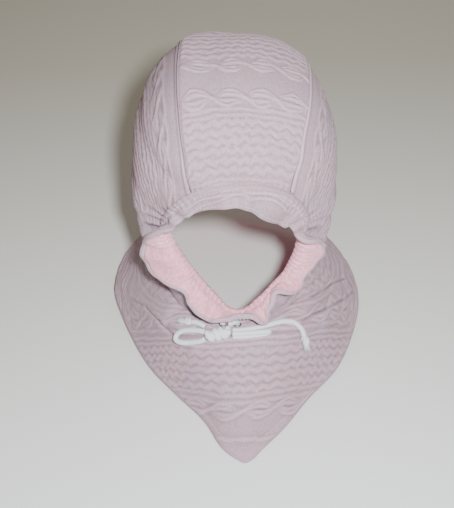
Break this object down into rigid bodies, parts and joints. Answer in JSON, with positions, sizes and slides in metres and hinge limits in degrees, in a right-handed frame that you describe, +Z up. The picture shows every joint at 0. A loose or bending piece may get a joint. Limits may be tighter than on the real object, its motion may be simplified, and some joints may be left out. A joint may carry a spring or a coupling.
{
  "type": "knit balaclava hood",
  "caption": "Child's cable-knit balaclava: fleece-lined hood with a gathered drawstring face opening and a pointed neck bib.",
  "frame": {"origin": "inner top of the lining, in the middle of the crown, where the hood sits on a head", "axes": "+Z up, -Y the way the face looks, +X to the wearer's left"},
  "size_m": [0.2453, 0.3173, 0.2802],
  "materials": {
    "knit": "soft cable knit",
    "fleece": "brushed fleece",
    "cord": "braided cotton",
    "eyelet": "satin"
  },
  "bodies": {
    "root": {"crown_strip": "knit", "side_panel_left": "knit", "side_panel_right": "knit", "face_ruffle": "knit", "bib": "knit", "hood_lining": "fleece", "ruffle_facing": "fleece", "bib_lining": "fleece", "cord_lead_right": "cord", "cord_lead_left": "cord", "bow_loop_right": "cord", "bow_loop_left": "cord", "cord_tail_right": "cord", "cord_tail_left": "cord", "bow_knot": "cord", "end_knot_right": "cord", "end_knot_left": "cord", "eyelet_right": "eyelet", "eyelet_left": "eyelet"}
  },
  "joints": []
}
